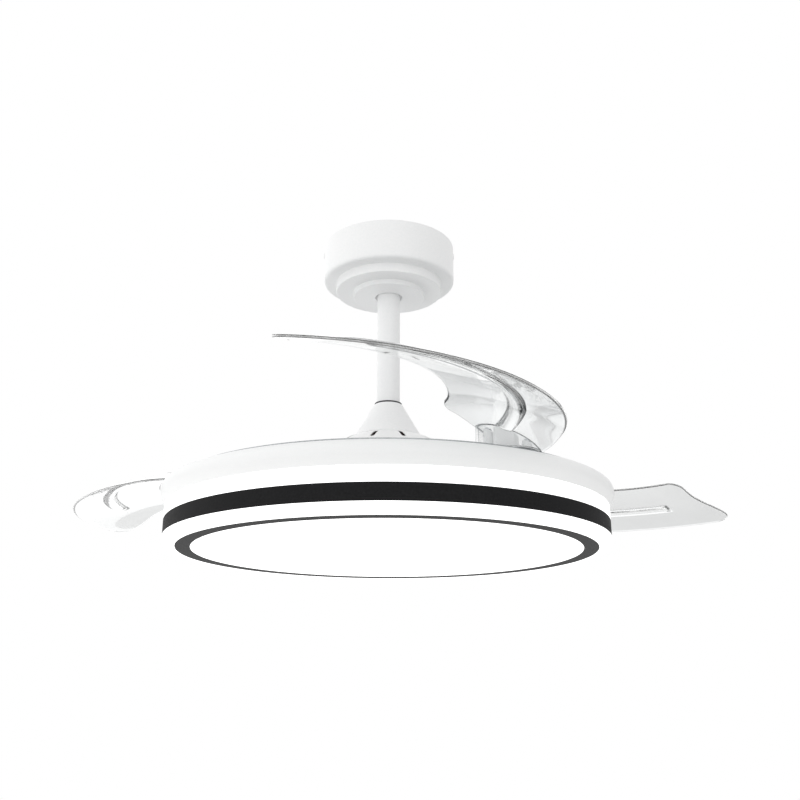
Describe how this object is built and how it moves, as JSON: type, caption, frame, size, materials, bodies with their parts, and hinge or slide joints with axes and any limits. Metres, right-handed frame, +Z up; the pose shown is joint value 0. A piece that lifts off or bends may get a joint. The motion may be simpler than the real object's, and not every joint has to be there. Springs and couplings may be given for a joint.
{
  "type": "retractable blade ceiling fan",
  "caption": "Ceiling fan on a down rod with a round glowing lamp body and clear curved blades that fold in over the body, turned together by a toothed ring.",
  "frame": {"origin": "centre of the ceiling bracket's upper face, where it meets the ceiling", "axes": "+Z up out of the ceiling face, the fan's own axis; +X along the two ceiling slots; the picture looks along +Y from below"},
  "size_m": [0.8696, 0.7968, 0.3794],
  "materials": {
    "white_paint": "matt white powder coat on steel and die-cast parts",
    "white_plastic": "satin white moulded ABS",
    "zinc_steel": "zinc-plated steel sheet and screws",
    "bright_steel": "ground bright steel",
    "lamination_steel": "stacked electrical steel",
    "magnet": "sintered ferrite",
    "copper_winding": "enamelled copper wire",
    "cast_aluminium": "stamped and cast aluminium, satin",
    "black_nylon": "black glass-filled nylon",
    "dark_rubber": "dark soft rubber",
    "terminal_plastic": "cream terminal plastic",
    "clear_polycarbonate": "clear moulded polycarbonate, polished",
    "opal_acrylic": "opal acrylic, lit from behind",
    "black_paint": "satin black paint",
    "grey_paint": "satin dark grey paint",
    "board_white": "white solder resist",
    "led_phosphor": "yellow LED phosphor",
    "bronze_bush": "oil-filled sintered bronze"
  },
  "bodies": {
    "ceiling": {"hanger_bracket": "zinc_steel", "canopy": "white_paint", "canopy_screws": "zinc_steel", "terminal_block": "terminal_plastic"},
    "hanging": {"hanger_ball": "black_nylon", "ball_pin": "bright_steel", "downrod": "white_paint", "rod_seal": "dark_rubber", "coupling_cover": "white_paint", "rod_yoke": "bright_steel", "yoke_bolt": "zinc_steel", "motor_shaft": "bright_steel", "stator_core": "lamination_steel", "stator_windings": "copper_winding", "lamp_carrier": "zinc_steel", "shaft_nut": "zinc_steel", "tray_screws": "zinc_steel", "tray": "white_plastic", "light_guide": "opal_acrylic", "black_band": "black_paint", "shade_ring": "opal_acrylic", "bottom_trim": "grey_paint", "diffuser": "opal_acrylic", "lamp_pan": "cast_aluminium", "led_board": "board_white", "led_chips": "led_phosphor", "rim_led_strip": "board_white", "led_driver": "white_plastic", "receiver_box": "white_plastic", "supply_cable": "dark_rubber", "cable_plug": "terminal_plastic", "pan_screws": "zinc_steel"},
    "rotor": {"motor_cover": "white_paint", "rotor_case": "cast_aluminium", "case_screws": "zinc_steel", "motor_bearings": "bright_steel", "flux_ring": "lamination_steel", "rotor_magnets": "magnet", "blade_carrier": "cast_aluminium", "carrier_bolts": "zinc_steel", "pivot_bolts": "bright_steel", "pivot_nuts": "zinc_steel", "return_springs": "bright_steel", "ring_guides": "white_plastic", "ring_stops": "black_nylon"},
    "sync_ring": {"sync_ring": "cast_aluminium"},
    "blade_1": {"blade_1": "clear_polycarbonate", "blade_holder_1": "white_plastic", "pivot_bush_1": "bronze_bush", "blade_screws_1": "zinc_steel"},
    "blade_2": {"blade_2": "clear_polycarbonate", "blade_holder_2": "white_plastic", "pivot_bush_2": "bronze_bush", "blade_screws_2": "zinc_steel"},
    "blade_3": {"blade_3": "clear_polycarbonate", "blade_holder_3": "white_plastic", "pivot_bush_3": "bronze_bush", "blade_screws_3": "zinc_steel"}
  },
  "joints": [
    {"name": "rod_sway", "type": "hinge", "parent": "ceiling", "child": "hanging", "pos_m": [0, 0, -0.026], "axis": [1, 0, 0], "range_deg": [-2, 2]},
    {"name": "rotor_spin", "type": "hinge", "parent": "hanging", "child": "rotor", "pos_m": [0, 0, -0.28], "axis": [0, 0, 1], "continuous": true},
    {"name": "blade_1_fold", "type": "hinge", "parent": "rotor", "child": "blade_1", "pos_m": [0.11574, -0.18238, -0.3], "axis": [0, 0, 1], "range_deg": [-72, 0], "deforming": ["return_springs"]},
    {"name": "blade_2_fold", "type": "hinge", "parent": "rotor", "child": "blade_2", "pos_m": [0.10007, 0.19142, -0.3], "axis": [0, 0, 1], "range_deg": [-72, 0]},
    {"name": "blade_3_fold", "type": "hinge", "parent": "rotor", "child": "blade_3", "pos_m": [-0.21581, -0.00904, -0.3], "axis": [0, 0, 1], "range_deg": [-72, 0]},
    {"name": "ring_turn", "type": "hinge", "parent": "rotor", "child": "sync_ring", "pos_m": [0, 0, -0.3067], "axis": [0, 0, 1], "range_deg": [0, 14.4]}
  ],
  "couplings": [
    {"joint": "blade_2_fold", "follows": "blade_1_fold", "ratio": 1},
    {"joint": "blade_3_fold", "follows": "blade_1_fold", "ratio": 1},
    {"joint": "ring_turn", "follows": "blade_1_fold", "ratio": -0.2}
  ]
}
